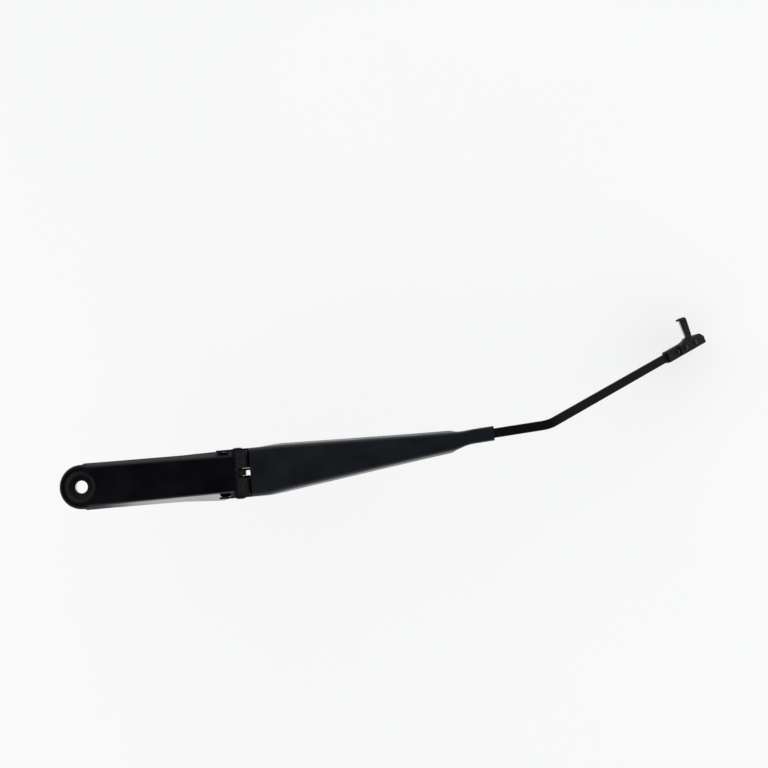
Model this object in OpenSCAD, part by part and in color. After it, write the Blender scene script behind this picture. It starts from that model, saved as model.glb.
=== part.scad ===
// Front windscreen wiper arm with a side pin end.
// Origin: centre of the round stretch of the spindle bore.
// +X runs from the spindle to the arm's pivot, +Z points out of the painted face.

/* [Mounting head] */
// Radius of the round end, at the underside
head_r = 21.2; // [20:0.2:23]
// Slope of the round end's wall, in degrees
end_draft = 2; // [0.5:0.5:4]
// Width over the straight sides at the spindle, at the underside
head_w = 44.4; // [43:0.2:47]
// Thickness of the head at the spindle
head_t = 14; // [13:0.5:17]
// Slope of the cast side walls, in degrees
draft = 14; // [10:1:16]
// Radius of the long edges of the painted face
edge_r = 3; // [1.5:0.5:3.5]
// How far each side of the face closes in towards the pivot, in degrees
head_taper = 0.7; // [0:0.1:1]
// How far the skirt drops from the spindle to the pivot, on the straight side
skirt_drop = 7; // [4:0.5:9]
// How far it drops on the other side
skirt_drop_minus = 15; // [9:0.5:16]
// Wall of the hollow underside
head_wall = 3.2; // [2.5:0.1:4]
// Thickness of the ribs in the hollow
rib_t = 2; // [1.5:0.1:3]
// Number of cross ribs in the hollow
rib_count = 3; // [1:1:5]

/* [Spindle seat] */
// Diameter of the round stretch of the spindle bore
bore_d = 12; // [10:0.5:13]
// Length of the round stretch
bore_len = 3; // [2:0.5:5]
// Diameter of the taper at the underside
taper_d = 16; // [13:0.5:17]
// Diameter of the flat seat for the nut
seat_d = 21; // [19:0.5:23]
// Diameter of the bevelled mouth of the seat
mouth_d = 28.5; // [25:0.5:29]
// Depth of the seat below the face
seat_depth = 4; // [3:0.5:6]

/* [Pivot] */
// Distance from the spindle to the pivot
pivot_x = 150; // [120:1:180]
// Depth of the pivot below the face, and radius of the round nose
nose_r = 10; // [9:0.5:12]
// Diameter of the pivot rivet
rivet_d = 6.5; // [5:0.5:7]
// Diameter of the rivet heads
rivet_head_d = 9; // [8.5:0.5:12]
// Height of the rivet heads
rivet_head_h = 1.2; // [1:0.1:2.5]
// Wall of the bushes
bush_wall = 1.4; // [1:0.1:2]
// Thickness of the bush flanges
bush_flange_t = 1.2; // [0.8:0.1:1.6]
// Width of the bush flanges
bush_flange_w = 2; // [1.5:0.1:2.5]
// Running clearance on the radius of a hinge
run_gap = 0.05; // [0.02:0.01:0.1]
// Side clearance between moving pieces
side_gap = 0.15; // [0.15:0.05:0.6]
// Clearance where pieces of one body sit in each other
seat_gap = 0.1; // [0.05:0.05:0.2]

/* [Spring link] */
// Distance from the pivot to the anchor pin
anchor_dist = 9.5; // [9.5:0.25:11]
// Direction from the pivot to the anchor pin, in the arm's own plane
anchor_dir = 258; // [250:1:262]
// Diameter of the anchor pin
anchor_d = 4.4; // [3.6:0.2:4.6]
// Distance from the anchor pin to the hook pin
link_len = 32; // [28:1:38]
// Width of the link's side plates, seen from the side
link_w = 3.2; // [2.8:0.1:3.6]
// Thickness of the link's side plates
link_t = 2; // [1.5:0.1:2.2]
// Gap between the link's side plates
link_mouth = 4.8; // [3.6:0.2:5]
// Radius of the head's middle rib round the pivot
rib_r = 6.7; // [6:0.1:8]
// Wall of the middle rib round the anchor pin
rib_wall = 2.4; // [2:0.1:3]
// Diameter of the hook pin
hook_pin_d = 3; // [2.5:0.1:3.4]

/* [Retainer] */
// Length of the retainer from the pivot to its closed end
retainer_len = 252; // [220:1:280]
// Width over the ears at the pivot
retainer_w = 45.5; // [43:0.5:47]
// Thickness of the sheet
sheet = 1.8; // [1.5:0.1:2]
// Distance from the pivot to the rear edge of the top
web_start = 9.3; // [9:0.1:11]
// Fall of the top from the pivot to the closed end
web_fall = 8; // [5:0.5:11]
// Depth of the side walls at the pivot
wall_h = 22; // [20:0.5:24]
// Depth of the side walls where the closing begins
wall_h_end = 9.5; // [9:0.5:12]
// Outer radius of the long folds at the pivot
fold_r = 4.75; // [3:0.25:5]
// Lean of the side walls away from the middle
flare = 2; // [1:0.25:2.5]
// Offset of the straight edge from the middle, where it starts
straight_edge = 24.8; // [23.5:0.1:25.5]
// Offset of the straight edge where the walls begin to close in
straight_edge_end = 22.8; // [21.5:0.1:24]
// Offset of the closed end from the middle
end_offset = 18.3; // [14:0.1:20]
// Where the tapered edge leaves the full width
taper_start = 29; // [25:1:40]
// Length of the closed end
crimp_len = 20; // [16:1:26]
// Length over which the walls close in
closing_len = 24; // [18:1:32]
// Radius of the ears behind the pivot
ear_r = 20; // [17:0.5:21]
// Side play of the rod in the closed end
crimp_play = 0.7; // [0.3:0.05:0.9]

/* [Rod] */
// Width of the flat bar
rod_w = 9.4; // [8:0.1:10]
// Thickness of the flat bar
rod_t = 4; // [3.5:0.1:4.5]
// Radius of the bar's rounded corners
rod_corner = 1.4; // [0.8:0.1:1.6]
// Length from the retainer to the corner of the bend
rod_first = 60; // [45:1:75]
// Length from the corner of the bend to the end fitting
rod_second = 201.5; // [150:0.5:230]
// Bend of the rod, in degrees
bend_angle = 27.1; // [10:0.1:35]
// Direction of the bend, turned about the rod, in degrees
bend_roll = -55.3; // [-80:0.1:-20]
// Radius of the bend, on the bar's middle line
bend_r = 34; // [25:1:45]
// Sweep of the rod away from the middle, in degrees
rod_sweep = 4.1; // [2:0.1:5]
// Distance from the pivot to the spring's hole
spring_hole_x = 128; // [120:1:140]
// Length of the lowered inner end
inner_drop_len = 24; // [20:1:30]
// Slope of the lowered inner end, in degrees
inner_drop_angle = 12; // [8:1:14]
// Diameter of the spring's hole
spring_hole_d = 4.4; // [4.3:0.1:5]

/* [Spring] */
// Outer diameter of the spring
coil_d = 12.6; // [11:0.2:13]
// Diameter of the spring wire
wire_d = 2.2; // [1.8:0.1:2.4]
// Distance from one turn to the next
coil_pitch = 2.4; // [2.4:0.1:3]
// Number of turns
turns = 26; // [18:1:28]
// Inner radius of the spring's rear hook
hook_room = 3.4; // [3.2:0.1:4]

/* [End fitting] */
// Length of the fitting
fitting_len = 70; // [67:1:80]
// Width of the fitting
fitting_w = 12.8; // [12:0.2:14]
// Wall of the socket above and below the rod
socket_wall = 1.7; // [1.3:0.1:2.2]
// Length of rod inside the socket
socket_depth = 27; // [20:1:29]
// Distance from the fitting's start to the side pin
pin_x = 56; // [54:0.5:58]
// Depth of the side pin below the rod's middle
pin_drop = 9; // [7:0.5:11]
// Diameter of the side pin
pin_d = 5; // [4.5:0.5:6]
// Free length of the side pin
pin_len = 22; // [16:1:24]
// Radius of the boss around the side pin
pin_boss_r = 6; // [5:0.5:7]
// Distance from the fitting's start to the strap
strap_x = 43; // [41:0.5:44]
// Width of the locking strap
strap_w = 6.8; // [5.5:0.1:8]
// Thickness of the locking strap
strap_t = 2; // [1.5:0.1:2.5]
// Rise of the strap beyond the fitting's edge
strap_rise = 24.5; // [20:0.5:28]
// Lean of the strap towards the fitting's end, in degrees
strap_lean = 5; // [0:0.5:8]
// Length of the strap's lip
strap_lip = 9; // [5:0.2:10]
// Inner radius of the strap's bend
strap_bend_r = 1.2; // [0.8:0.1:2]
// Diameter of the small rivets
small_rivet_d = 3; // [2.5:0.1:3.4]

/* [Position] */
// Droop of the free arm below the head, in degrees
rest_droop = 19; // [14:1:22]

/* [Hidden] */

$fn = 96;
eps = 0.01;
black = [0.07, 0.07, 0.08];
bare = [0.62, 0.63, 0.65];
zinc = [0.5, 0.5, 0.48];

// Places that follow from the sizes above
pivot_z = head_t - nose_r;
tongue_w = retainer_w - 2 * sheet - 2 * side_gap;
shoulder_r = ear_r + 1.1;
bush_d = rivet_d + 2 * run_gap + 2 * bush_wall;
anchor_x = anchor_dist * cos(anchor_dir);
anchor_z = anchor_dist * sin(anchor_dir);
hook_head_h = 0.9;
slot_w = link_mouth + 2 * link_t + 2 * side_gap;
rib_w = link_mouth - 2 * side_gap;

// The top of the retainer falls in a straight line past the pivot
fall_angle = atan(web_fall / retainer_len);
function web_z(x) = nose_r - x * tan(fall_angle);
function ease(t) = t <= 0 ? 0 : t >= 1 ? 1 : t * t * (3 - 2 * t);
function mix(a, b, t) = a + (b - a) * t;

// Middle of the rod, along the arm
rod_drop = sheet + seat_gap + rod_t / 2;
function rod_y(x) = end_offset - (retainer_len - x) * tan(rod_sweep);
crimp_start = retainer_len - crimp_len;
closing_start = crimp_start - closing_len;
crimp_w = rod_w + 2 * sheet + 2 * crimp_play;
crimp_h = rod_t + 2 * sheet + 2 * seat_gap;

// Hole for the spring at the lowered inner end of the rod
joggle_x = spring_hole_x + inner_drop_len;
inner_slope = inner_drop_angle - fall_angle;
inner_run = inner_drop_len / cos(inner_slope) / cos(rod_sweep);
spring_y = rod_y(spring_hole_x);
spring_z = web_z(joggle_x) - rod_drop - inner_drop_len * tan(inner_slope);
line_angle = atan2(spring_z - anchor_z, spring_hole_x - anchor_x);
hook_x = anchor_x + link_len * cos(line_angle);
hook_z = anchor_z + link_len * sin(line_angle);

// The head is drawn from its underside up; this puts the origin in the middle of the bore
module head_frame() {
    translate([0, 0, -(head_t - seat_depth - bore_len / 2)])
        children();
}

module arm_frame() {
    head_frame()
        translate([pivot_x, 0, pivot_z])
            rotate([0, rest_droop, 0])
                children();
}

// Rod's own frame, at the retainer's closed end
module rod_frame() {
    arm_frame()
        translate([retainer_len, end_offset, web_z(retainer_len) - rod_drop])
            rotate([0, 0, rod_sweep])
                rotate([0, fall_angle, 0])
                    children();
}

// Frame of the stretch past the bend, at the corner of the bend
module second_frame() {
    rod_frame()
        translate([rod_first, 0, 0])
            rotate([bend_roll, 0, 0])
                rotate([0, 0, bend_angle])
                    rotate([-bend_roll, 0, 0])
                        children();
}

module tip_frame() {
    second_frame()
        translate([rod_second, 0, 0])
            children();
}

// Upright shape drawn in X and Z, with its thickness along Y
module side_plate(y0, y1) {
    translate([0, y1, 0])
        rotate([90, 0, 0])
            linear_extrude(y1 - y0)
                children();
}

// Half section of the head: the face, its rounded edge and the sloped wall down to z = low
function head_half(width, top, radius, slope, low, start) =
    let (turn = 90 - slope, run = radius * tan(turn / 2))
    concat(
        [[start, low], [start, top]],
        [for (i = [0:6])
            let (a = 90 - turn * i / 6)
            [width - run + radius * cos(a), top - radius + radius * sin(a)]],
        [[width + (top - low) * tan(slope), low]]
    );

// Outer body of the head, or of its hollow when the sizes are smaller
module head_sides(width, top, radius, low, x_end) {
    for (side = [0, 1])
        mirror([0, side, 0])
            rotate([0, 0, -head_taper])
                rotate([90, 0, 90])
                    linear_extrude(x_end)
                        polygon(head_half(width, top, radius, draft, low, -4));
}

face_half = head_w / 2 - head_t * tan(draft);
face_r = head_r - head_t * tan(end_draft);
cheek_drop = 13.5;
skirt_end = pivot_x - 20;

// Side view of the head: underside, cheeks and round nose
module head_side_profile(drop) {
    polygon([
        [-2 * head_r, 0], [head_r, 0], [skirt_end - 35, -drop * 0.3], [skirt_end - 12, -drop * 0.8], [skirt_end, -drop],
        [pivot_x - 14, pivot_z - cheek_drop], [pivot_x + 3, pivot_z - cheek_drop],
        [pivot_x + 3, pivot_z + nose_r - 2], [pivot_x, head_t], [pivot_x, head_t + 2], [-2 * head_r, head_t + 2]
    ]);
}

stop_from = 16.5;
stop_to = 21.5;
stop_base = 1;

// Lower part of the nose, which carries the stop
module tail() {
    polygon([
        [-2, stop_base - cheek_drop], [6, -11], [stop_to - 2.5, -4], [stop_to, stop_base],
        [nose_r / 2, stop_base], [-2, 4]
    ]);
}

// Stop under the retainer's top, which the free arm rests on
module stop() {
    height = web_z(stop_to) - sheet - side_gap;
    polygon([[stop_from, stop_base - 1], [stop_to, stop_base - 1], [stop_to, height], [stop_from, height]]);
}

// Room for the link, over its whole swing
module link_room() {
    eye_r = anchor_d / 2 + run_gap + link_w + side_gap;
    back_x = -0.44 * nose_r;
    far = 3 * nose_r;
    translate([pivot_x, pivot_z])
        rotate(-rest_droop) {
            translate([anchor_x, anchor_z])
                circle(r = eye_r);
            polygon([
                [anchor_x - eye_r - 5, -far], [anchor_x - eye_r - 5, anchor_z], [anchor_x, anchor_z],
                [0, anchor_z / 2], [0, 2], [-0.8, nose_r / 2], [back_x, nose_r - 0.6], [back_x, nose_r + 4],
                [2 * far, nose_r + 4], [2 * far, -far]
            ]);
        }
}

// Middle rib, between the link's side plates, which carries the pivot rivet and the anchor pin
module middle_rib() {
    translate([pivot_x, pivot_z]) {
        circle(r = rib_r);
        rotate(-rest_droop) {
            translate([anchor_x, anchor_z])
                circle(r = anchor_d / 2 + rib_wall);
            polygon([
                [-rib_r, 2], [anchor_x - anchor_d / 2 - 1, anchor_z], [anchor_x + anchor_d / 2 + 1, anchor_z], [rib_r - 2.4, 0]
            ]);
        }
    }
}

module mounting_head() {
    flange_d = bush_d + 2 * bush_flange_w;
    color(black)
        head_frame()
            difference() {
                union() {
                    difference() {
                        union() {
                            // Round end
                            rotate_extrude()
                                polygon(head_half(face_r, head_t, edge_r, end_draft, 0, 0));
                            // Straight sides, with a deeper skirt on one of them
                            intersection() {
                                head_sides(face_half, head_t, edge_r, -skirt_drop_minus, pivot_x + 2 * nose_r);
                                union() {
                                    side_plate(-2 * head_r, rib_t / 4)
                                        head_side_profile(skirt_drop_minus);
                                    side_plate(0, 2 * head_r)
                                        head_side_profile(skirt_drop);
                                }
                            }
                            nose();
                        }
                        ear_room();
                        hollow();
                        side_plate(-slot_w / 2, slot_w / 2)
                            link_room();
                    }
                    side_plate(-rib_w / 2, rib_w / 2)
                        middle_rib();
                }
                spindle_seat();
                // Bores for the bushes, with seats for their flanges, and for the anchor pin
                translate([pivot_x, 0, pivot_z]) {
                    rotate([90, 0, 0])
                        cylinder(d = bush_d + seat_gap / 2, h = 3 * head_r, center = true);
                    for (side = [0, 1])
                        mirror([0, side, 0])
                            translate([0, tongue_w / 2 - bush_flange_t, 0])
                                rotate([-90, 0, 0])
                                    cylinder(d = flange_d + seat_gap, h = head_r);
                    rotate([0, rest_droop, 0])
                        translate([anchor_x, 0, anchor_z])
                            rotate([90, 0, 0])
                                cylinder(d = anchor_d + seat_gap, h = 3 * head_r, center = true);
                }
            }
}

// Round nose over the full width between the ears, without the side walls' slope.
// Its stop stays clear of the retainer's folds
module nose() {
    stop_half = tongue_w / 2 - fold_r + sheet / 2;
    translate([pivot_x, 0, pivot_z]) {
        rotate([90, 0, 0])
            cylinder(r = nose_r, h = tongue_w, center = true);
        rotate([0, rest_droop, 0]) {
            side_plate(-tongue_w / 2, tongue_w / 2)
                tail();
            side_plate(-stop_half, stop_half)
                stop();
        }
    }
}

// Room for the retainer's ears on each side of the tongue
module ear_room() {
    for (side = [0, 1])
        mirror([0, side, 0])
            side_plate(tongue_w / 2, 2 * head_r) {
                translate([pivot_x, pivot_z])
                    circle(r = shoulder_r);
                translate([pivot_x, -2 * head_r])
                    square([3 * nose_r, 4 * head_r]);
            }
}

// Hollow underside with its ribs
module hollow() {
    from = head_r + head_wall;
    to = pivot_x - shoulder_r - 2.6 * head_wall;
    depth = head_t + skirt_drop_minus + 1;
    difference() {
        intersection() {
            head_sides(face_half - head_wall, head_t - head_wall, 0.5, -skirt_drop_minus - 1, to);
            translate([from, -head_w, -skirt_drop_minus - 1])
                cube([to - from, 2 * head_w, depth]);
        }
        translate([0, -rib_t / 2, -skirt_drop_minus - 2])
            cube([pivot_x, rib_t, depth + 2]);
        for (i = [1:rib_count])
            translate([mix(from, to, i / (rib_count + 1)) - rib_t / 2, -head_w, -skirt_drop_minus - 2])
                cube([rib_t, 2 * head_w, depth + 2]);
    }
}

// Bevelled mouth, flat seat for the nut, round stretch and taper
module spindle_seat() {
    bevel = (mouth_d - seat_d) / 2;
    translate([0, 0, head_t - seat_depth]) {
        cylinder(d = seat_d, h = seat_depth + 1);
        translate([0, 0, seat_depth - bevel])
            cylinder(d1 = seat_d, d2 = mouth_d + 2, h = bevel + 1);
        translate([0, 0, -bore_len])
            cylinder(d = bore_d, h = bore_len + 1);
    }
    translate([0, 0, -1])
        cylinder(d1 = taper_d, d2 = bore_d, h = head_t - seat_depth - bore_len + 1);
}

module anchor_pin() {
    color(bare)
        arm_frame()
            translate([anchor_x, 0, anchor_z])
                rotate([90, 0, 0])
                    cylinder(d = anchor_d, h = tongue_w - 1, center = true);
}

module pivot_bush() {
    depth = tongue_w / 2 - slot_w / 2 - 0.5;
    color(zinc)
        difference() {
            union() {
                translate([0, tongue_w / 2 - depth, 0])
                    rotate([-90, 0, 0])
                        cylinder(d = bush_d, h = depth);
                translate([0, tongue_w / 2 - bush_flange_t, 0])
                    rotate([-90, 0, 0])
                        cylinder(d = bush_d + 2 * bush_flange_w, h = bush_flange_t);
            }
            rotate([90, 0, 0])
                cylinder(d = rivet_d + 2 * run_gap, h = 60, center = true);
        }
}

module pivot_bush_upper() {
    head_frame()
        translate([pivot_x, 0, pivot_z])
            pivot_bush();
}

module pivot_bush_lower() {
    head_frame()
        translate([pivot_x, 0, pivot_z])
            mirror([0, 1, 0])
                pivot_bush();
}

module pivot_rivet() {
    color(bare)
        arm_frame() {
            rotate([90, 0, 0])
                cylinder(d = rivet_d, h = retainer_w + 1, center = true);
            for (side = [0, 1])
                mirror([0, side, 0])
                    translate([0, retainer_w / 2, 0])
                        rotate([-90, 0, 0]) {
                            cylinder(d = rivet_head_d, h = rivet_head_h * 0.45);
                            translate([0, 0, rivet_head_h * 0.45])
                                cylinder(d1 = rivet_head_d, d2 = rivet_head_d - 3.4, h = rivet_head_h * 0.55);
                        }
        }
}

// Retainer: a sheet folded over a tapering channel and closed round the rod.
// Outer offsets of its two walls at their free edges
blend_len = 22;
function to_crimp(x) = ease((x - crimp_start + blend_len) / blend_len);
function edge_plus(x) =
    let (line = mix(straight_edge, straight_edge_end, max(0, (x - 40) / (closing_start - 40))))
    mix(mix(retainer_w / 2, line, ease((x - 10) / 35)), rod_y(x) + crimp_w / 2, to_crimp(x));
taper_end = rod_y(crimp_start) - crimp_w / 2 - 3;
function edge_minus(x) =
    let (line = mix(-retainer_w / 2, taper_end, max(0, (x - taper_start) / (crimp_start - 6 - taper_start))))
    mix(line, rod_y(x) - crimp_w / 2, to_crimp(x));
function closing(x) = ease((x - closing_start) / closing_len);
function depth_at(x) =
    mix(mix(wall_h, wall_h_end, max(0, x - 20) / (closing_start - 20)), crimp_h + lip_run, closing(x));
function flare_at(x) = flare * ease((x - 14) / 30) * (1 - closing(x));
function fold_at(x) = mix(mix(fold_r, 3.2, ease(x / closing_start)), 2.4, closing(x));

fold_steps = 6;
lip_steps = 4;
lip_piece = 1.25;
lip_end = 1.6;
lip_run = lip_piece * (lip_steps - 1) + lip_end;

// Turning angle before each stretch of the half section, and each stretch's length
function half_turns(x, lean) =
    concat([for (i = [1:fold_steps]) (90 - lean) / fold_steps], [for (i = [1:lip_steps]) 94 * closing(x) / lip_steps]);
function half_runs(x, wall) =
    concat([for (i = [2:fold_steps]) fold_at(x) * 1.57 / fold_steps], [wall],
        [for (i = [2:lip_steps]) lip_piece], [lip_end]);
function walk(turns_list, runs, i, heading, y, z) =
    i == len(runs) ? [[y, z, heading, 0]] :
    let (next = heading + turns_list[i])
    concat([[y, z, heading, turns_list[i]]],
        walk(turns_list, runs, i + 1, next, y + runs[i] * cos(next), z - runs[i] * sin(next)));

// Half section from the start of the fold to the free edge, as points and the points one sheet inside
function half_section(x, edge) =
    let (
        arc_drop = fold_at(x) * 0.95,
        wall = max(0.6, depth_at(x) - arc_drop - lip_run),
        lean = atan(flare_at(x) / (wall + lip_run)),
        steps = walk(half_turns(x, lean), half_runs(x, wall), 0, 0, 0, 0),
        reach = steps[fold_steps][0]
    )
    [for (s = steps)
        let (a = s[2] + s[3] / 2, t = sheet / cos(s[3] / 2))
        [[edge - reach + s[0], s[1]], [edge - reach + s[0] - t * sin(a), s[1] - t * cos(a)]]];

function section_ring(x) =
    let (
        plus = half_section(x, edge_plus(x)),
        minus = half_section(x, -edge_minus(x)),
        n = len(plus)
    )
    concat(
        [for (i = [n - 1:-1:0]) [x, -minus[i][0][0], web_z(x) + minus[i][0][1]]],
        [for (i = [0:n - 1]) [x, plus[i][0][0], web_z(x) + plus[i][0][1]]],
        [for (i = [n - 1:-1:0]) [x, plus[i][1][0], web_z(x) + plus[i][1][1]]],
        [for (i = [0:n - 1]) [x, -minus[i][1][0], web_z(x) + minus[i][1][1]]]
    );

retainer_stations = concat(
    [web_start, 14],
    [for (i = [1:6]) 14 + i * 6],
    [for (i = [1:8]) mix(50, closing_start, i / 8)],
    [for (i = [1:10]) mix(closing_start, crimp_start, i / 10)],
    [retainer_len - 1.2, retainer_len]
);

module loft(rings) {
    n = len(rings[0]);
    m = len(rings);
    half = n / 2;
    points = [for (r = rings) each r];
    sides = [for (k = [0:m - 2]) for (i = [0:n - 1])
        let (j = (i + 1) % n)
        each [[k * n + i, k * n + j, (k + 1) * n + j], [k * n + i, (k + 1) * n + j, (k + 1) * n + i]]];
    // The sheet's cut ends, a strip between its outer and its inner line
    caps = [for (i = [0:half - 2])
        each [
            [i + 1, i, n - 1 - i], [i + 1, n - 1 - i, n - 2 - i],
            [(m - 1) * n + i, (m - 1) * n + i + 1, (m - 1) * n + n - 1 - i],
            [(m - 1) * n + i + 1, (m - 1) * n + n - 2 - i, (m - 1) * n + n - 1 - i]
        ]];
    polyhedron(points, concat(sides, caps), convexity = 8);
}

module ear_outline() {
    intersection() {
        circle(r = ear_r);
        polygon([
            [-30, -wall_h + nose_r + 4], [-12, -wall_h + nose_r], [web_start + 2, -wall_h + nose_r - 0.05],
            [web_start + 2, web_z(13.5) - fold_r - 0.3], [-4, web_z(13.5) - fold_r - 0.3], [-30, -3]
        ]);
    }
}

module retainer() {
    color(black)
        arm_frame()
            difference() {
                union() {
                    loft([for (x = retainer_stations) section_ring(x)]);
                    for (side = [0, 1])
                        mirror([0, side, 0])
                            side_plate(retainer_w / 2 - sheet, retainer_w / 2)
                                ear_outline();
                }
                rotate([90, 0, 0])
                    cylinder(d = rivet_d + seat_gap, h = 60, center = true);
            }
}

// Section of the flat bar with rounded corners, grown a little where a bend takes in a straight
module bar_section(grow = 0) {
    steps = 6;
    polygon([
        for (corner = [0:3])
            for (i = [0:steps])
                let (
                    a = 90 * corner + 90 * i / steps,
                    y = (rod_w / 2 - rod_corner) * (corner == 0 || corner == 3 ? 1 : -1),
                    z = (rod_t / 2 - rod_corner) * (corner < 2 ? 1 : -1)
                )
                [y + (rod_corner + grow) * cos(a), z + (rod_corner + grow) * sin(a)]
    ]);
}

module bar(length) {
    rotate([90, 0, 90])
        linear_extrude(length)
            bar_section();
}

// Round bend that starts at the origin along +X and turns towards +Y of the rolled frame
module bar_bend(radius, angle, roll) {
    rotate([roll, 0, 0])
        translate([0, radius, 0])
            rotate([0, 0, -90])
                rotate_extrude(angle = angle)
                    translate([radius, 0])
                        rotate(roll)
                            bar_section(0.02);
}

module arm_rod() {
    tangent = bend_r * tan(bend_angle / 2);
    joggle_r = 20;
    joggle_tangent = joggle_r * tan(inner_drop_angle / 2);
    joggle_back = (retainer_len - joggle_x) / cos(rod_sweep);
    end_past_hole = spring_hole_d / 2 + 1.2;
    // How far a straight runs into the bend beside it
    lap = 0.4;
    color(black)
        difference() {
            union() {
                rod_frame() {
                    translate([-joggle_back + joggle_tangent - lap, 0, 0])
                        bar(joggle_back - joggle_tangent + rod_first - tangent + 2 * lap);
                    translate([rod_first - tangent, 0, 0])
                        bar_bend(bend_r, bend_angle, bend_roll);
                    translate([-joggle_back, 0, 0])
                        rotate([0, -inner_drop_angle, 0]) {
                            translate([-inner_run - end_past_hole, 0, 0])
                                bar(inner_run + end_past_hole - joggle_tangent + lap);
                            translate([-joggle_tangent, 0, 0])
                                bar_bend(joggle_r, inner_drop_angle, -90);
                        }
                }
                second_frame()
                    translate([tangent - lap, 0, 0])
                        bar(rod_second + socket_depth - tangent + lap);
            }
            rod_frame()
                translate([-joggle_back, 0, 0])
                    rotate([0, -inner_drop_angle, 0])
                        translate([-inner_run, 0, 0])
                            cylinder(d = spring_hole_d, h = 20, center = true);
            tip_frame()
                translate([socket_rivet_x, 0, 0])
                    cylinder(d = small_rivet_d + seat_gap, h = 20, center = true);
        }
}

socket_top = rod_t / 2 + seat_gap + socket_wall;
pin_root_d = pin_d - 0.8;
pin_point = 1;
pin_rivet_h = 1.2;
socket_rivet_x = socket_depth - 9;
rivet_flange = 1.2;

// Side view of the fitting: socket, drop to the pin's boss and rounded end
module fitting_side() {
    polygon([
        [0, socket_top], [0, -socket_top], [pin_x - 22, -socket_top], [pin_x - 6, -pin_drop - 2],
        [pin_x + 4, -pin_drop - 1], [fitting_len - 3, -4], [fitting_len, -1], [fitting_len, socket_top - 1.5],
        [fitting_len - 1.5, socket_top]
    ]);
    translate([pin_x, -pin_drop])
        circle(r = pin_boss_r);
}

// Top view of the fitting, with its corner cut back at the end
module fitting_top() {
    w = fitting_w / 2;
    polygon([
        [0, -w + 1], [1, -w], [fitting_len - 1.5, -w], [fitting_len, -w + 1.5],
        [fitting_len, w - 5.5], [fitting_len - 2, w - 4.6], [pin_x + pin_boss_r + 1, w], [1, w], [0, w - 1]
    ]);
}

module end_fitting() {
    color(black)
        tip_frame()
            difference() {
                intersection() {
                    side_plate(-fitting_w, fitting_w)
                        fitting_side();
                    translate([0, 0, -30])
                        linear_extrude(60)
                            fitting_top();
                }
                translate([-1, -rod_w / 2 - seat_gap, -rod_t / 2 - seat_gap])
                    cube([socket_depth + 1 + seat_gap, rod_w + 2 * seat_gap, rod_t + 2 * seat_gap]);
                // Bevelled long edges
                for (y = [-1, 1])
                    for (z = [-1, 1])
                        translate([-1, y * fitting_w / 2, z * socket_top])
                            rotate([45, 0, 0])
                                translate([0, -0.8, -0.8])
                                    cube([z > 0 ? 200 : pin_x - 24, 1.6, 1.6]);
                translate([socket_rivet_x, 0, 0])
                    cylinder(d = small_rivet_d + seat_gap, h = 60, center = true);
                for (x = strap_rivet_places)
                    translate([x, 0, socket_top - strap_rivet_depth])
                        cylinder(d = small_rivet_d + seat_gap, h = 60);
                translate([pin_x, -fitting_w / 2 - 1, -pin_drop])
                    rotate([-90, 0, 0])
                        cylinder(d = pin_root_d + seat_gap, h = fitting_w + 2);
            }
}

module side_pin() {
    color(bare)
        tip_frame()
            translate([pin_x, fitting_w / 2, -pin_drop])
                rotate([-90, 0, 0]) {
                    cylinder(d = pin_d, h = pin_len - pin_point);
                    translate([0, 0, pin_len - pin_point])
                        cylinder(d1 = pin_d, d2 = pin_d - 1.6 * pin_point, h = pin_point);
                    // Thinner root through the fitting, with its riveted end
                    translate([0, 0, -fitting_w])
                        cylinder(d = pin_root_d, h = fitting_w + eps);
                    translate([0, 0, -fitting_w - pin_rivet_h])
                        cylinder(d1 = pin_root_d + 0.6, d2 = pin_root_d + 2, h = pin_rivet_h);
                }
}

// The strap's foot starts clear of the socket's rivet
foot_start = socket_rivet_x + small_rivet_d / 2 + rivet_flange + 0.7;
strap_rivet_places = [foot_start + 9, strap_x + strap_w / 2 + 2.2];
strap_rivet_depth = 5;

strap_left = strap_x - strap_w / 2;
strap_right = strap_x + strap_w / 2;
strap_top = fitting_w / 2 + strap_rise;
strap_bend = strap_bend_r + strap_t;
strap_shift = strap_rise * tan(strap_lean);

// Flat outline of the strap, seen from above, up to the start of its lip
module strap_outline() {
    edge = fitting_w / 2;
    difference() {
        polygon([
            [foot_start, -edge + 2.4], [foot_start + 1, -edge + 1.4], [strap_right + 4.2, -edge + 1.4],
            [strap_right + 5.2, -edge + 2.4], [strap_right + 5.2, edge - 3], [strap_right + 3.2, edge - 1],
            [strap_right, edge + 1], [strap_right + strap_shift, strap_top - strap_bend],
            [strap_left + strap_shift, strap_top - strap_bend], [strap_left, edge + 5.4],
            [strap_left - 1.2, edge + 4.2], [foot_start + 1, edge - 1.4], [foot_start, edge - 2.6]
        ]);
        for (x = strap_rivet_places)
            translate([x, 0])
                circle(d = small_rivet_d + seat_gap);
    }
}

module locking_strap() {
    color(black)
        tip_frame()
            translate([0, 0, socket_top]) {
                linear_extrude(strap_t)
                    strap_outline();
                translate([strap_left + strap_shift, strap_top - strap_bend, -strap_bend_r])
                    rotate([0, 90, 0])
                        rotate([0, 0, 90])
                            rotate_extrude(angle = 90)
                                translate([strap_bend_r, 0])
                                    square([strap_t, strap_w]);
                translate([strap_left + strap_shift, strap_top - strap_t, strap_t - strap_lip])
                    cube([strap_w, strap_t, strap_lip - strap_bend]);
            }
}

module small_rivet(low, high) {
    translate([0, 0, low])
        cylinder(d = small_rivet_d, h = high - low);
    translate([0, 0, high]) {
        cylinder(d = small_rivet_d + 2 * rivet_flange, h = 0.5);
        translate([0, 0, 0.5])
            cylinder(d1 = small_rivet_d + 2 * rivet_flange, d2 = small_rivet_d, h = 0.7);
    }
}

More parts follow.
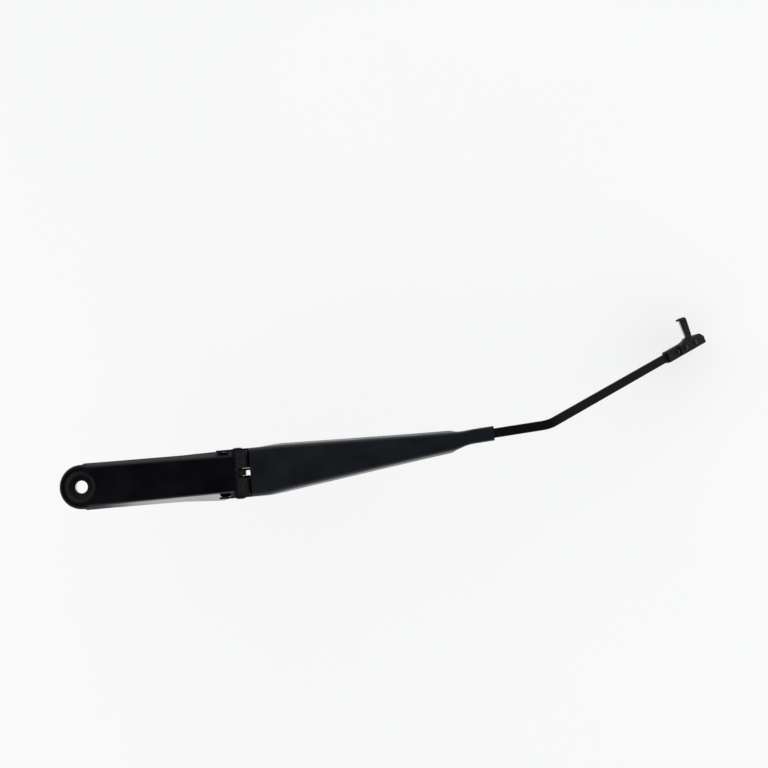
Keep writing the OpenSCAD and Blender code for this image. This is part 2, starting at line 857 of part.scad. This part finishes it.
module socket_rivet() {
    color(black)
        tip_frame()
            translate([socket_rivet_x, 0, 0]) {
                small_rivet(0, socket_top);
                mirror([0, 0, 1])
                    small_rivet(0, socket_top);
            }
}

module strap_rivets() {
    color(black)
        tip_frame()
            for (x = strap_rivet_places)
                translate([x, 0, socket_top])
                    small_rivet(-strap_rivet_depth, strap_t);
}

// Middle line of the link, from the eye on the anchor pin, under the pivot rivet's path, to the hook pin
rivet_clear = rivet_d / 2 + side_gap + link_w / 2;
lift_swing = 85.2;
rivet_end_dir = anchor_dir - 180 - line_angle - lift_swing;
rivet_end = anchor_dist * [cos(rivet_end_dir), sin(rivet_end_dir)];
link_path = concat(
    [[0, -2.6]],
    [for (a = [236:12:320]) rivet_end + rivet_clear * [cos(a), sin(a)]],
    [rivet_end + [rivet_clear + 2.2, -1], [rivet_end[0] + rivet_clear + 4.4, 0], [link_len, 0]]
);

// Turns a middle line into a band of even width
module ribbon(path, w) {
    last = len(path) - 1;
    normals = [for (i = [0:last])
        let (d = path[min(i + 1, last)] - path[max(i - 1, 0)])
        [-d[1], d[0]] / norm(d)];
    polygon(concat(
        [for (i = [0:last]) path[i] + normals[i] * w / 2],
        [for (i = [last:-1:0]) path[i] - normals[i] * w / 2]
    ));
}

module link_outline() {
    difference() {
        union() {
            circle(d = anchor_d + 2 * run_gap + 2 * link_w - 0.6);
            ribbon(link_path, link_w);
            translate([link_len, 0])
                circle(d = hook_pin_d + link_w + 0.4);
        }
        circle(d = anchor_d + 2 * run_gap);
        translate([link_len, 0])
            circle(d = hook_pin_d + seat_gap);
    }
}

module spring_link() {
    inner = link_mouth / 2;
    color(zinc)
        arm_frame()
            translate([anchor_x, 0, anchor_z])
                rotate([0, -line_angle, 0]) {
                    side_plate(inner, inner + link_t)
                        link_outline();
                    side_plate(-inner - link_t, -inner)
                        link_outline();
                }
}

module hook_pin() {
    reach = link_mouth / 2 + link_t;
    color(bare)
        arm_frame()
            translate([hook_x, 0, hook_z])
                rotate([90, 0, 0]) {
                    cylinder(d = hook_pin_d, h = 2 * reach, center = true);
                    for (side = [0, 1])
                        mirror([0, 0, side])
                            translate([0, 0, reach])
                                cylinder(d1 = hook_pin_d + 1.4, d2 = hook_pin_d, h = hook_head_h);
                }
}

// Wire swept along the turns of the spring, with the axis along +X
module coil(radius, pitch, count, wire) {
    per_turn = 12;
    sides = 6;
    climb = atan(pitch / (2 * PI * radius));
    rings = [for (i = [0:count * per_turn])
        let (a = 360 * i / per_turn)
        [for (k = [0:sides - 1])
            let (
                b = 360 * k / sides,
                out = radius + wire / 2 * cos(b),
                along = wire / 2 * sin(b)
            )
            [
                pitch * i / per_turn + along * cos(climb),
                out * cos(a) + along * sin(climb) * sin(a),
                out * sin(a) - along * sin(climb) * cos(a)
            ]]];
    n = sides;
    m = len(rings);
    faces = concat(
        [for (k = [0:m - 2]) for (i = [0:n - 1])
            let (j = (i + 1) % n)
            each [[k * n + i, k * n + j, (k + 1) * n + j], [k * n + i, (k + 1) * n + j, (k + 1) * n + i]]],
        [[for (i = [n - 1:-1:0]) i]],
        [[for (i = [0:n - 1]) (m - 1) * n + i]]
    );
    polyhedron([for (r = rings) each r], faces, convexity = 10);
}

module spring_hook(radius) {
    rotate([90, 0, 0])
        rotate_extrude($fn = 36)
            translate([radius, 0])
                circle(d = wire_d, $fn = 16);
}

// The straight wire is this much slimmer than the hooks' wire, so that the two meet cleanly
seam = 0.03;

// The rear hook is a ring through the bar's hole; the spring swings about the ring's middle
module tension_spring() {
    rear_r = wire_d / 2 + hook_room;
    front_r = hook_pin_d / 2 + wire_d / 2 + 0.5;
    front_centre = front_r - wire_d / 2 - hook_pin_d / 2 - seat_gap;
    reach = norm([spring_hole_x - hook_x, spring_z - hook_z]) - rear_r;
    span = norm([reach, spring_y]);
    swing = atan(spring_y / reach);
    coil_r = (coil_d - wire_d) / 2;
    coil_start = front_r + front_centre + 4;
    coil_end = coil_start + coil_pitch * turns;
    color(zinc)
        arm_frame()
            translate([hook_x, 0, hook_z])
                rotate([0, -line_angle, 0]) {
                    translate([reach, spring_y, 0])
                        spring_hook(rear_r);
                    rotate([0, 0, swing]) {
                        translate([front_centre, 0, 0])
                            spring_hook(front_r);
                        for (rod = [
                            [front_centre + front_r - 0.2, coil_start + wire_d / 2],
                            [coil_end - wire_d / 2, span - rear_r + 0.2]
                        ])
                            translate([rod[0], 0, 0])
                                rotate([0, 90, 0])
                                    cylinder(d = wire_d - 2 * seam, h = rod[1] - rod[0]);
                        for (x = [coil_start, coil_end])
                            translate([x, 0, 0])
                                rotate([-90, 0, 0])
                                    cylinder(d = wire_d, h = coil_r);
                        translate([coil_start, 0, 0])
                            coil(coil_r, coil_pitch, turns, wire_d);
                    }
                }
}

mounting_head();
anchor_pin();
pivot_bush_upper();
pivot_bush_lower();
retainer();
pivot_rivet();
arm_rod();
end_fitting();
side_pin();
locking_strap();
socket_rivet();
strap_rivets();
spring_link();
hook_pin();
tension_spring();
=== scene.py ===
"""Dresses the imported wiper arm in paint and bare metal, in soft studio light and at the photo's angle."""

import math

import bpy
from mathutils import Matrix, Vector


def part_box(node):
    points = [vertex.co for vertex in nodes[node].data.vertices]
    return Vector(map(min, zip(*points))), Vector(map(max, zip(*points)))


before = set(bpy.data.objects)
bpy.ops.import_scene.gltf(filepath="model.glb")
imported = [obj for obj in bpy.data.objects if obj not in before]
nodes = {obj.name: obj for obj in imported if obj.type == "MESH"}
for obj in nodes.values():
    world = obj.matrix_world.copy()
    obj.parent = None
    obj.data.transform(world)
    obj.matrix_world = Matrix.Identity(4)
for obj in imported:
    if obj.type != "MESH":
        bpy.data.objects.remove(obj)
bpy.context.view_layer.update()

# Lengths are in metres. A noise is given as its waves per metre, detail and roughness. A ramp goes from its
# first number to its second and gives 0 to 1 there, or its third number to its fourth.
# The middle of a noise's values, where most of them lie
MIDDLE = (0.3, 0.7)
# The inputs of a ramp by name, and the sockets of a colour mix by number
RAMP_INPUTS = ("From Min", "From Max", "To Min", "To Max")
MIX_FACTOR, MIX_FIRST, MIX_SECOND, MIX_RESULT = 0, 6, 7, 2

# Camera, as fitted on the photo: turns in degrees, focal length in pixels of the image
IMAGE_PX = 768
CAMERA_YAW = 5.45
CAMERA_PITCH = -3.96
CAMERA_ROLL = 4.93
CAMERA_DISTANCE = 1.2237
CAMERA_FOCAL_PX = 1289.9
CAMERA_TARGET = (0.2909, 0.0728)
CAMERA_CLIP = (0.01, 50)
# The fit was made from the head's underside, which lies this far below the middle of the spindle bore
HEAD_UNDERSIDE = -0.0085
SENSOR_MM = 36.0

# Floor, well below the hanging tip, so that it shows white through the spindle hole
FLOOR_BELOW_TIP = 0.03
FLOOR_SIZE = 40.0
FLOOR_NOISE = (1.4, 2.0, 0.5)
FLOOR_TONES = ((0.895, 0.897, 0.895), (0.915, 0.915, 0.91))
FLOOR_ROUGHNESS = 0.75

# One wide soft box overhead, with its power in watts
BOX_PLACE = (0.3, 0.0, 4.0)
BOX_SIZE = 24.0
BOX_POWER = 1845
# Surroundings that go dark overhead: the heights are sines of elevation
WORLD_SIDES = (0.93, 0.96, 1.0)
WORLD_OVERHEAD = (0.012, 0.012, 0.013)
HORIZON_HEIGHT = 0.05
OVERHEAD_HEIGHT = 0.85
WORLD_STRENGTH = 0.78
# A dark flag beyond the tip: from and to which share of +X it comes in, and the light without and with it
DARK_FLAG = (0.45, 0.85, 1.0, 0.15)
# What shows behind the floor in low views, plain and pale
BACKDROP = (0.80, 0.81, 0.82)

# Paint: large patches of slightly lighter colour
CLOUD = (38, 4.0, 0.6)
PATCH_GAIN = 1.45
PATCH_LIFT = 0.0006
# Dust specks on faces that look up, in some of the patches: their share of the colour and what they add to
# the roughness
SPECK = (2600, 2.0, 0.5)
SPECK_RAMP = (0.6, 0.78)
DUST_RAMP = (0.42, 0.66)
LOOKS_UP = (0.0, 0.9)
DUST_SHARE = 0.05
DUST = (0.30, 0.29, 0.27)
DUST_DULLS = 0.12
# Wear on edges: the rounding, how well a rounded normal agrees with the true one, and the worn patches
EDGE_RADIUS = 0.0006
EDGE_SAMPLES = 4
EDGE_TURN = (0.80, 0.975)
WEAR_NOISE = (420, 4.0, 0.65)
WEAR_RAMP = (0.55, 0.68)
WORN = (0.16, 0.16, 0.165)
# Orange peel and uneven gloss: what they add to the roughness, and the bumps' strengths and heights
PEEL_DETAIL = (2.0, 0.45)
PEEL_ROUGHNESS = (-0.02, 0.03)
PEEL_BUMP = 0.35
CLOUD_GLOSS = (0.25, 0.75, -0.05, 0.06)
CLOUD_BUMP = (0.10, 0.0004)
STREAK = (210, 3.0, 0.6)
STREAK_STRETCH = (0.12, 1.0, 1.0)
STREAK_GLOSS = (0.3, 0.7, -0.03, 0.03)
PAINT_IOR = 1.5

# The head's upper side wall, which is dull: from and to which share of +Y, and its added roughness
UPPER_WALL = (0.35, 0.8)
UPPER_WALL_DULL = 0.5
# Its lower side wall, which keeps its gloss: the share of -Y, and where the gloss comes in along X and Y
LOWER_WALL = (-0.5, -0.9)
GLOSS_ALONG_X = (0.02, 0.07)
GLOSS_ALONG_Y = (-0.013, -0.017)
GLOSS_ROUGHNESS = 0.12
GLOSS_IOR = 1.6
# The lower wall's end at the spindle, dull again: from where along X to where, and its added roughness
DULL_END_ALONG_X = (0.050, 0.015)
DULL_END = 0.45
# The nut recess: where its edge fades along the radius, its added roughness, and its stain and painted light
# along Y
RECESS_EDGE = (0.0148, 0.0136)
RECESS_DULL = 0.28
RECESS_STAIN_AND_LIGHT_ALONG_Y = (0.004, -0.012)
RECESS_STAIN_AND_LIGHT = (0.0085, 0.0062, 0.0060)
# The machined spindle bore: where it ends along the radius, how far up a face looks that stays painted, its
# colour, and the share of the roughness that is left in it
BORE_EDGE = (0.0086, 0.0082)
BORE_LOOKS_UP = (0.5, 0.7)
MACHINED = (0.62, 0.62, 0.63)
MACHINED_ROUGHNESS = (0.0, 1.0, 1.0, 0.45)
# Painted highlight in the recess's bevel, away from the pivot: both soft edges along the radius, and along X
BEVEL_INNER = (0.0112, 0.0128)
BEVEL_OUTER = (0.0152, 0.0142)
BEVEL_HIGHLIGHT_ALONG_X = (0.008, -0.008)
BEVEL_HIGHLIGHT = (0.0105, 0.0102, 0.0098)
# The barrel at the pivot, with a painted highlight in lighter grey patches
BARREL_ALONG_X = (0.1482, 0.1506)
BARREL_NOISE = (700, 4.0, 0.65)
BARREL_RAMP = (0.30, 0.62)
BARREL_HIGHLIGHT_GREY = (0.0150, 0.0136, 0.0125)

# Bare metal: fine drawing lines, dull clouds, and stains that darken and roughen it
LINES = (900, 3.0, 0.6)
LINES_SHARE = (0.3, 0.7, 0.0, 0.3)
LINES_GAIN = 0.8
LINES_BUMP = (0.2, 0.00003)
METAL_CLOUD = (160, 4.0, 0.6)
METAL_ROUGHNESS = (-0.06, 0.08)
SPOT = (330, 5.0, 0.7)
SPOT_RAMP = (0.52, 0.72)
SPOT_GAIN = 0.45
SPOT_DULL = 0.15
# How the drawing lines are stretched: along the pins, or not at all
DRAWN_ALONG_Y = (1.0, 0.15, 1.0)
NO_DIRECTION = (1.0, 1.0, 1.0)

# Edges with a sharper turn than this, in degrees, stay sharp
SHARP_ANGLE = 32


def turn(axis, degrees):
    """A turn about one of the frame's axes."""
    return Matrix.Rotation(math.radians(degrees), 3, axis)


def add_camera():
    """A camera at the photo's viewing angle."""
    lean = turn("Y", CAMERA_YAW)
    back = lean @ turn("X", -CAMERA_PITCH) @ Vector((0, 0, 1))
    across = lean @ Vector((1, 0, 0))
    up = back.cross(across)
    roll = math.radians(CAMERA_ROLL)
    right = math.cos(roll) * across - math.sin(roll) * up
    above = math.sin(roll) * across + math.cos(roll) * up
    place = CAMERA_TARGET[0] * across + CAMERA_TARGET[1] * up + CAMERA_DISTANCE * back
    data = bpy.data.cameras.new("camera")
    data.sensor_width = SENSOR_MM
    data.lens = CAMERA_FOCAL_PX / IMAGE_PX * SENSOR_MM
    data.clip_start, data.clip_end = CAMERA_CLIP
    camera = bpy.data.objects.new("camera", data)
    matrix = Matrix((right, above, back)).transposed().to_4x4()
    matrix.translation = place + Vector((0, 0, HEAD_UNDERSIDE))
    camera.matrix_world = matrix
    bpy.context.scene.collection.objects.link(camera)
    bpy.context.scene.camera = camera


class Graph:
    """A small helper that adds nodes to a new material and links them."""

    def __init__(self, name):
        self.material = bpy.data.materials.new(name)
        self.material.use_nodes = True
        self.tree = self.material.node_tree
        self.shader = self.tree.nodes["Principled BSDF"]
        self.place = self.add("ShaderNodeTexCoord").outputs["Object"]

    def add(self, kind, **settings):
        """A new node, with each setting put on the input or the property of that name."""
        made = self.tree.nodes.new(kind)
        for key, value in settings.items():
            if key in made.inputs:
                made.inputs[key].default_value = value
            else:
                setattr(made, key, value)
        return made

    def link(self, start, end):
        self.tree.links.new(start, end)

    def noise(self, scale, detail, rough, stretch=None):
        """Noise in the piece's own coordinates, which may be stretched along an axis."""
        made = self.add("ShaderNodeTexNoise", Scale=scale, Detail=detail, Roughness=rough)
        source = self.place
        if stretch:
            mapping = self.add("ShaderNodeMapping", Scale=stretch)
            self.link(source, mapping.inputs["Vector"])
            source = mapping.outputs["Vector"]
        self.link(source, made.inputs["Vector"])
        return made.outputs["Fac"]

    def ramp(self, source, low, high, low_value=0.0, high_value=1.0):
        """From one value to another as the source goes from low to high, and no further."""
        made = self.add("ShaderNodeMapRange", clamp=True)
        for key, value in zip(RAMP_INPUTS, (low, high, low_value, high_value)):
            made.inputs[key].default_value = value
        self.link(source, made.inputs["Value"])
        return made.outputs["Result"]

    def math(self, operation, first, second):
        """Two numbers or sockets put together by one operation."""
        made = self.add("ShaderNodeMath", operation=operation)
        for socket, value in zip(made.inputs, (first, second)):
            if isinstance(value, (int, float)):
                socket.default_value = value
            else:
                self.link(value, socket)
        return made.outputs[0]

    def product(self, first, *others):
        """All of them multiplied."""
        for other in others:
            first = self.math("MULTIPLY", first, other)
        return first

    def total(self, first, *others):
        """All of them added."""
        for other in others:
            first = self.math("ADD", first, other)
        return first

    def mix(self, factor, first, second):
        """Mix of two colours; either one may be a colour or a socket."""
        made = self.add("ShaderNodeMix", data_type="RGBA")
        self.link(factor, made.inputs[MIX_FACTOR])
        for index, value in ((MIX_FIRST, first), (MIX_SECOND, second)):
            if isinstance(value, tuple):
                made.inputs[index].default_value = (*value, 1.0)
            else:
                self.link(value, made.inputs[index])
        return made.outputs[MIX_RESULT]

    def bump(self, height, strength, distance, before=None):
        """A bumped normal, on top of an earlier one where there is one."""
        made = self.add("ShaderNodeBump", Strength=strength, Distance=distance)
        self.link(height, made.inputs["Height"])
        if before is not None:
            self.link(before, made.inputs["Normal"])
        return made.outputs["Normal"]

    def edges(self):
        """1 on sharp edges, 0 on flat faces, from how much a rounded normal turns away from the true one."""
        bevel = self.add("ShaderNodeBevel", samples=EDGE_SAMPLES, Radius=EDGE_RADIUS)
        geometry = self.add("ShaderNodeNewGeometry")
        dot = self.add("ShaderNodeVectorMath", operation="DOT_PRODUCT")
        self.link(bevel.outputs["Normal"], dot.inputs[0])
        self.link(geometry.outputs["Normal"], dot.inputs[1])
        sharp, flat = EDGE_TURN
        return self.ramp(dot.outputs["Value"], flat, sharp)

    def facing(self, axis, low, high):
        """0 to 1 as the face turns from one share of the axis to the other."""
        geometry = self.add("ShaderNodeNewGeometry")
        split = self.add("ShaderNodeSeparateXYZ")
        self.link(geometry.outputs["Normal"], split.inputs[0])
        return self.ramp(split.outputs[axis], low, high)

    def along(self, axis, low, high):
        """0 to 1 as the place goes from one coordinate to the other."""
        split = self.add("ShaderNodeSeparateXYZ")
        self.link(self.place, split.inputs[0])
        return self.ramp(split.outputs[axis], low, high)

    def radius(self):
        """Distance from the spindle bore's axis."""
        flat = self.add("ShaderNodeVectorMath", operation="MULTIPLY")
        flat.inputs[1].default_value = (1.0, 1.0, 0.0)
        self.link(self.place, flat.inputs[0])
        length = self.add("ShaderNodeVectorMath", operation="LENGTH")
        self.link(flat.outputs["Vector"], length.inputs[0])
        return length.outputs["Value"]


def painted(graph, colour, roughness, grain, depth, wear=0.25, shine=0.5):
    """Satin black paint: orange peel, faint uneven gloss, dust on top and thin wear on sharp edges.

    The grain is the peel's waves per metre and the depth is its height.
    """
    shader = graph.shader
    cloud = graph.noise(*CLOUD)
    streak = graph.noise(*STREAK, stretch=STREAK_STRETCH)
    speck = graph.noise(*SPECK)
    peel = graph.noise(grain, *PEEL_DETAIL)
    lighter = tuple(part * PATCH_GAIN + PATCH_LIFT for part in colour)
    base = graph.mix(graph.ramp(cloud, *MIDDLE), colour, lighter)
    grime = graph.product(graph.ramp(speck, *SPECK_RAMP), graph.ramp(cloud, *DUST_RAMP),
                          graph.facing("Z", *LOOKS_UP))
    base = graph.mix(graph.product(grime, DUST_SHARE), base, DUST)
    patch = graph.ramp(graph.noise(*WEAR_NOISE), *WEAR_RAMP)
    base = graph.mix(graph.product(graph.edges(), patch, wear), base, WORN)
    graph.link(base, shader.inputs["Base Color"])
    smoother, rougher = PEEL_ROUGHNESS
    peel_gloss = graph.ramp(peel, *MIDDLE, roughness + smoother, roughness + rougher)
    uneven = graph.total(graph.ramp(cloud, *CLOUD_GLOSS), graph.ramp(streak, *STREAK_GLOSS))
    gloss = graph.total(uneven, peel_gloss, graph.product(grime, DUST_DULLS))
    graph.link(gloss, shader.inputs["Roughness"])
    shader.inputs["IOR"].default_value = PAINT_IOR
    shader.inputs["Specular IOR Level"].default_value = shine
    fine = graph.bump(peel, PEEL_BUMP, depth)
    graph.link(graph.bump(cloud, *CLOUD_BUMP, before=fine), shader.inputs["Normal"])
    return graph.material


def weather(graph, gloss):
    """Dulls the upper side wall, keeps a clear gloss on the lower one and returns the new roughness."""
    upper = graph.facing("Y", *UPPER_WALL)
    lower = graph.facing("Y", *LOWER_WALL)
    end = graph.product(lower, graph.along("X", *DULL_END_ALONG_X))
    kept = graph.product(lower, graph.along("X", *GLOSS_ALONG_X), graph.along("Y", *GLOSS_ALONG_Y))
    graph.link(kept, graph.shader.inputs["Coat Weight"])
    graph.shader.inputs["Coat Roughness"].default_value = GLOSS_ROUGHNESS
    graph.shader.inputs["Coat IOR"].default_value = GLOSS_IOR
    return graph.total(gloss, graph.product(upper, UPPER_WALL_DULL), graph.product(end, DULL_END))


def cast_head(graph, **paint):
    """The head's weathered paint, with painted highlights in the nut recess and on the barrel, the recess
    rubbed and stained, and the bore machined bare.
    """
    material = painted(graph, **paint)
    shader = graph.shader
    radius = graph.radius()
    recess = graph.ramp(radius, *RECESS_EDGE)
    # The stain is brownish and also painted light: it makes the recess lighter towards -Y
    stain = graph.product(recess, graph.along("Y", *RECESS_STAIN_AND_LIGHT_ALONG_Y))
    base = shader.inputs["Base Color"].links[0].from_socket
    base = graph.mix(stain, base, RECESS_STAIN_AND_LIGHT)
    # A painted highlight: lighter grey in the recess's bevel, on the side away from the pivot
    bevel_highlight = graph.product(graph.ramp(radius, *BEVEL_INNER), graph.ramp(radius, *BEVEL_OUTER),
                         graph.along("X", *BEVEL_HIGHLIGHT_ALONG_X))
    base = graph.mix(bevel_highlight, base, BEVEL_HIGHLIGHT)
    # A painted highlight: lighter grey patches on the barrel at the pivot
    patch = graph.ramp(graph.noise(*BARREL_NOISE), *BARREL_RAMP)
    base = graph.mix(graph.product(graph.along("X", *BARREL_ALONG_X), patch), base, BARREL_HIGHLIGHT_GREY)
    painted_faces = graph.facing("Z", *BORE_LOOKS_UP)
    bore = graph.product(graph.ramp(radius, *BORE_EDGE), graph.math("SUBTRACT", 1.0, painted_faces))
    graph.link(graph.mix(bore, base, MACHINED), shader.inputs["Base Color"])
    gloss = weather(graph, shader.inputs["Roughness"].links[0].from_socket)
    gloss = graph.total(gloss, graph.product(recess, RECESS_DULL))
    gloss = graph.product(gloss, graph.ramp(bore, *MACHINED_ROUGHNESS))
    graph.link(gloss, shader.inputs["Roughness"])
    graph.link(bore, shader.inputs["Metallic"])
    return material


def bare_metal(graph, colour, roughness, brushing, spots=0.25):
    """Bare or plated metal: fine drawing lines, dull clouds and darker stains."""
    shader = graph.shader
    lines = graph.noise(*LINES, stretch=brushing)
    cloud = graph.noise(*METAL_CLOUD)
    stain = graph.ramp(graph.noise(*SPOT), *SPOT_RAMP)
    darker = tuple(part * SPOT_GAIN for part in colour)
    base = graph.mix(graph.product(stain, spots), colour, darker)
    base = graph.mix(graph.ramp(lines, *LINES_SHARE), base, tuple(part * LINES_GAIN for part in colour))
    graph.link(base, shader.inputs["Base Color"])
    smoother, rougher = METAL_ROUGHNESS
    uneven = graph.ramp(cloud, *MIDDLE, roughness + smoother, roughness + rougher)
    graph.link(graph.total(uneven, graph.product(stain, SPOT_DULL)), shader.inputs["Roughness"])
    shader.inputs["Metallic"].default_value = 1.0
    graph.link(graph.bump(lines, *LINES_BUMP), shader.inputs["Normal"])
    return graph.material


def dress(material, *names):
    """Gives the named pieces one material."""
    for name in names:
        slots = nodes[name].data.materials
        slots.clear()
        slots.append(material)


def add_materials():
    """One material for each kind of surface, and the pieces that have it."""
    cast = cast_head(Graph("cast_paint"), colour=(0.0013, 0.0010, 0.0022), roughness=0.32,
                     grain=900, depth=0.00006)
    sheet = painted(Graph("sheet_paint"), colour=(0.0042, 0.0053, 0.0074), roughness=0.33,
                    grain=1500, depth=0.00004)
    bar = painted(Graph("bar_paint"), colour=(0.0026, 0.0026, 0.0028), roughness=0.42,
                  grain=1800, depth=0.00003, shine=0.1)
    fitting = painted(Graph("fitting_paint"), colour=(0.0022, 0.0024, 0.0025), roughness=0.50,
                      grain=1300, depth=0.00004, wear=0.4, shine=0.2)
    rivet = painted(Graph("rivet_paint"), colour=(0.0030, 0.0030, 0.0032), roughness=0.38,
                    grain=2200, depth=0.00003, wear=0.5)
    plated = painted(Graph("dark_plated_steel"), colour=(0.005, 0.005, 0.0046), roughness=0.78,
                     grain=1600, depth=0.00003, wear=0.1, shine=0.15)
    drawn = bare_metal(Graph("drawn_steel"), colour=(0.46, 0.46, 0.47), roughness=0.28,
                       brushing=DRAWN_ALONG_Y)
    wire = bare_metal(Graph("spring_wire"), colour=(0.33, 0.33, 0.32), roughness=0.34,
                      brushing=NO_DIRECTION, spots=0.4)
    bronze = bare_metal(Graph("bush_bronze"), colour=(0.42, 0.30, 0.17), roughness=0.42,
                        brushing=NO_DIRECTION)
    dress(cast, "mounting_head")
    dress(sheet, "retainer")
    dress(bar, "arm_rod")
    dress(fitting, "end_fitting", "locking_strap")
    dress(rivet, "pivot_rivet", "socket_rivet", "strap_rivets")
    dress(plated, "spring_link")
    dress(drawn, "anchor_pin", "side_pin", "hook_pin")
    dress(wire, "tension_spring")
    dress(bronze, "pivot_bush_upper", "pivot_bush_lower")


def smooth():
    """Shades round faces smooth, with every sharp edge kept sharp."""
    for node in nodes.values():
        node.data.shade_smooth()
        node.data.set_sharp_from_angle(angle=math.radians(SHARP_ANGLE))


def add_soft_box():
    """A wide soft box overhead: it lights the floor evenly, and glossy paint doesn't mirror it."""
    data = bpy.data.lights.new("soft_box", "AREA")
    data.shape = "SQUARE"
    data.size = BOX_SIZE
    data.energy = BOX_POWER
    box = bpy.data.objects.new("soft_box", data)
    box.location = BOX_PLACE
    box.visible_glossy = False
    box.visible_camera = False
    bpy.context.scene.collection.objects.link(box)


def add_floor():
    """A plain pale floor, far enough below the arm to take only soft shadows."""
    lowest = min(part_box(name)[0][2] for name in nodes)
    level = lowest - FLOOR_BELOW_TIP
    half = FLOOR_SIZE / 2
    corners = [(-half, -half, level), (half, -half, level), (half, half, level), (-half, half, level)]
    mesh = bpy.data.meshes.new("floor")
    mesh.from_pydata(corners, [], [(0, 1, 2, 3)])
    floor = bpy.data.objects.new("floor", mesh)
    bpy.context.scene.collection.objects.link(floor)
    graph = Graph("pale_floor")
    tone = graph.ramp(graph.noise(*FLOOR_NOISE), *MIDDLE)
    graph.link(graph.mix(tone, *FLOOR_TONES), graph.shader.inputs["Base Color"])
    graph.shader.inputs["Roughness"].default_value = FLOOR_ROUGHNESS
    mesh.materials.append(graph.material)


def add_world():
    """Soft studio surroundings, bright round the horizon and dark overhead, and a plain backdrop."""
    world = bpy.data.worlds.new("studio")
    world.use_nodes = True
    tree = world.node_tree
    place = tree.nodes.new("ShaderNodeTexCoord")
    split = tree.nodes.new("ShaderNodeSeparateXYZ")
    tree.links.new(place.outputs["Generated"], split.inputs[0])
    ramp = tree.nodes.new("ShaderNodeValToRGB")
    ramp.color_ramp.interpolation = "EASE"
    horizon, overhead = ramp.color_ramp.elements
    horizon.position = HORIZON_HEIGHT
    horizon.color = (*WORLD_SIDES, 1.0)
    overhead.position = OVERHEAD_HEIGHT
    overhead.color = (*WORLD_OVERHEAD, 1.0)
    tree.links.new(split.outputs["Z"], ramp.inputs["Fac"])
    flag = tree.nodes.new("ShaderNodeMapRange")
    for key, value in zip(RAMP_INPUTS, DARK_FLAG):
        flag.inputs[key].default_value = value
    tree.links.new(split.outputs["X"], flag.inputs["Value"])
    dimmed = tree.nodes.new("ShaderNodeVectorMath")
    dimmed.operation = "SCALE"
    tree.links.new(ramp.outputs["Color"], dimmed.inputs[0])
    tree.links.new(flag.outputs["Result"], dimmed.inputs["Scale"])
    studio = tree.nodes["Background"]
    studio.inputs["Strength"].default_value = WORLD_STRENGTH
    tree.links.new(dimmed.outputs["Vector"], studio.inputs["Color"])
    backdrop = tree.nodes.new("ShaderNodeBackground")
    backdrop.inputs["Color"].default_value = (*BACKDROP, 1.0)
    path = tree.nodes.new("ShaderNodeLightPath")
    choice = tree.nodes.new("ShaderNodeMixShader")
    tree.links.new(path.outputs["Is Camera Ray"], choice.inputs["Fac"])
    tree.links.new(studio.outputs["Background"], choice.inputs[1])
    tree.links.new(backdrop.outputs["Background"], choice.inputs[2])
    tree.links.new(choice.outputs["Shader"], tree.nodes["World Output"].inputs["Surface"])
    bpy.context.scene.world = world


add_camera()
add_floor()
add_soft_box()
add_world()
add_materials()
smooth()
bpy.context.scene.view_settings.view_transform = "Standard"
